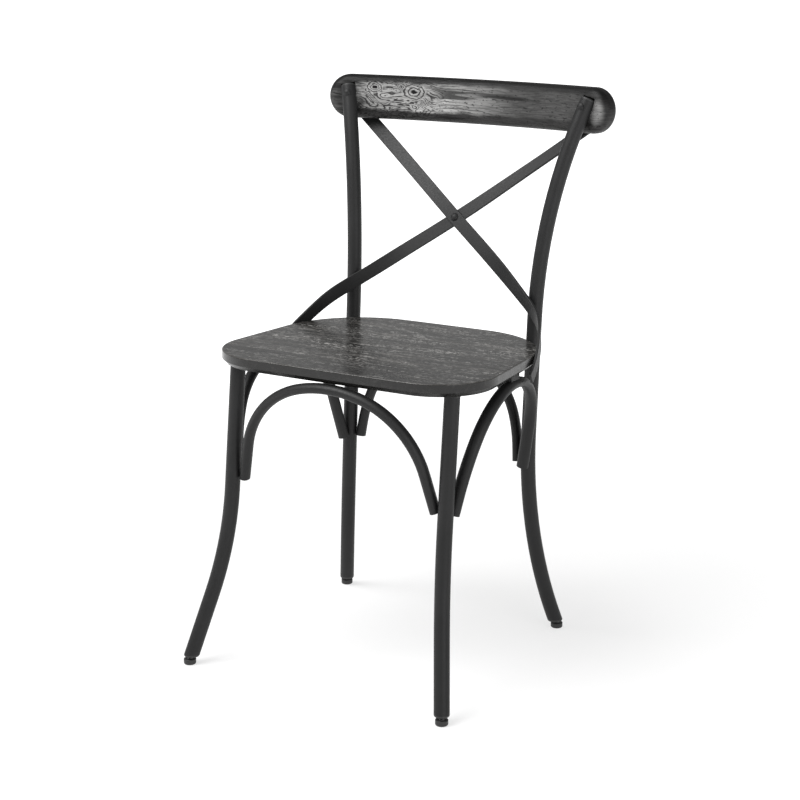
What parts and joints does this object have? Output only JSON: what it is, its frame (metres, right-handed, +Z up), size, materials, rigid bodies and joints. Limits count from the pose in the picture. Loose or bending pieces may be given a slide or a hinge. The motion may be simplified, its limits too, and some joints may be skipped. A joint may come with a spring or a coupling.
{
  "type": "dining chair",
  "caption": "Armless dining chair: bent steel tube legs with arched braces, flat steel straps crossing in the back, bent wooden top rail, rounded wooden seat, swivel levelling feet.",
  "frame": {"origin": "floor level, on the plane of symmetry, midway between the front feet and the back of the rail, under the middle of the bounding box", "axes": "+Z up, the front of the chair faces -Y, +X towards the right-hand side as seen from the front"},
  "size_m": [0.5036, 0.5308, 0.8629],
  "materials": {
    "coated_steel": "matte charcoal powder coat with a fine texture",
    "stained_seat_wood": "dark grey-brown wire-brushed wood under a satin lacquer",
    "stained_rail_wood": "black-stained wood with a worn front face and knots",
    "black_plastic": "moulded plastic, matte black",
    "bright_steel": "zinc-plated steel thread and screws"
  },
  "bodies": {
    "chair": {"crossing_rivet": "coated_steel", "front_arch": "coated_steel", "front_strap": "coated_steel", "left_front_bracket": "coated_steel", "left_front_leg": "coated_steel", "left_front_plug": "black_plastic", "left_post_cap": "black_plastic", "left_rear_bracket": "coated_steel", "left_rear_leg": "coated_steel", "left_rear_plug": "black_plastic", "left_side_arch": "coated_steel", "left_side_bracket": "coated_steel", "post_screws": "coated_steel", "rear_arch": "coated_steel", "rear_strap": "coated_steel", "right_front_bracket": "coated_steel", "right_front_leg": "coated_steel", "right_front_plug": "black_plastic", "right_post_cap": "black_plastic", "right_rear_bracket": "coated_steel", "right_rear_leg": "coated_steel", "right_rear_plug": "black_plastic", "right_side_arch": "coated_steel", "right_side_bracket": "coated_steel", "seat": "stained_seat_wood", "seat_screws": "bright_steel", "strap_screws": "bright_steel", "top_rail": "stained_rail_wood"},
    "right_front_stud": {"right_front_stud": "bright_steel"},
    "right_front_pad": {"right_front_pad": "black_plastic"},
    "right_rear_stud": {"right_rear_stud": "bright_steel"},
    "right_rear_pad": {"right_rear_pad": "black_plastic"},
    "left_front_stud": {"left_front_stud": "bright_steel"},
    "left_front_pad": {"left_front_pad": "black_plastic"},
    "left_rear_stud": {"left_rear_stud": "bright_steel"},
    "left_rear_pad": {"left_rear_pad": "black_plastic"}
  },
  "joints": [
    {"name": "right_front_stud_screw_travel", "type": "slide", "parent": "chair", "child": "right_front_stud", "axis": [0.1819, -0.3133, -0.9321], "range_m": [-0.002, 0.008]},
    {"name": "right_front_pad_swivel", "type": "hinge", "parent": "right_front_stud", "child": "right_front_pad", "pos_m": [0.22011, -0.25612, 0.0056], "axis": [0, 0, 1], "continuous": true},
    {"name": "right_rear_stud_screw_travel", "type": "slide", "parent": "chair", "child": "right_rear_stud", "axis": [0.2046, 0.3126, -0.9276], "range_m": [-0.002, 0.008]},
    {"name": "right_rear_pad_swivel", "type": "hinge", "parent": "right_rear_stud", "child": "right_rear_pad", "pos_m": [0.19876, 0.17041, 0.0056], "axis": [0, 0, 1], "continuous": true},
    {"name": "left_front_stud_screw_travel", "type": "slide", "parent": "chair", "child": "left_front_stud", "axis": [-0.1819, -0.3133, -0.9321], "range_m": [-0.002, 0.008]},
    {"name": "left_front_pad_swivel", "type": "hinge", "parent": "left_front_stud", "child": "left_front_pad", "pos_m": [-0.22011, -0.25612, 0.0056], "axis": [0, 0, 1], "continuous": true},
    {"name": "left_rear_stud_screw_travel", "type": "slide", "parent": "chair", "child": "left_rear_stud", "axis": [-0.2046, 0.3126, -0.9276], "range_m": [-0.002, 0.008]},
    {"name": "left_rear_pad_swivel", "type": "hinge", "parent": "left_rear_stud", "child": "left_rear_pad", "pos_m": [-0.19876, 0.17041, 0.0056], "axis": [0, 0, 1], "continuous": true}
  ]
}
